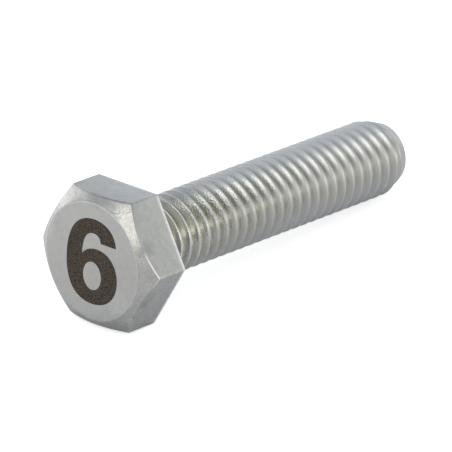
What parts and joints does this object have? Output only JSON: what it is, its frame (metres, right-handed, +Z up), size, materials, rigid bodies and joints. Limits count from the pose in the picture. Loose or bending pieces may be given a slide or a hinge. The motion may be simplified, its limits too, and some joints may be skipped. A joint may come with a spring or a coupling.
{
  "type": "hex head screw",
  "caption": "Fully threaded hexagon head machine screw in plain stainless steel, with a chamfered head and point, lying at rest on its head and thread.",
  "frame": {"origin": "centre of the bearing face, the ring under the head, on the screw's axis", "axes": "the screw lies at rest: its axis runs from the head to the point along +X and dips 4.36 degrees towards -Z; +Z is up, and the flat of the head that it doesn't rest on faces up"},
  "size_m": [0.0325, 0.0116, 0.0102],
  "materials": {
    "stainless": "satin, with fine grain"
  },
  "bodies": {
    "root": {"hex_screw": "stainless"}
  },
  "joints": []
}
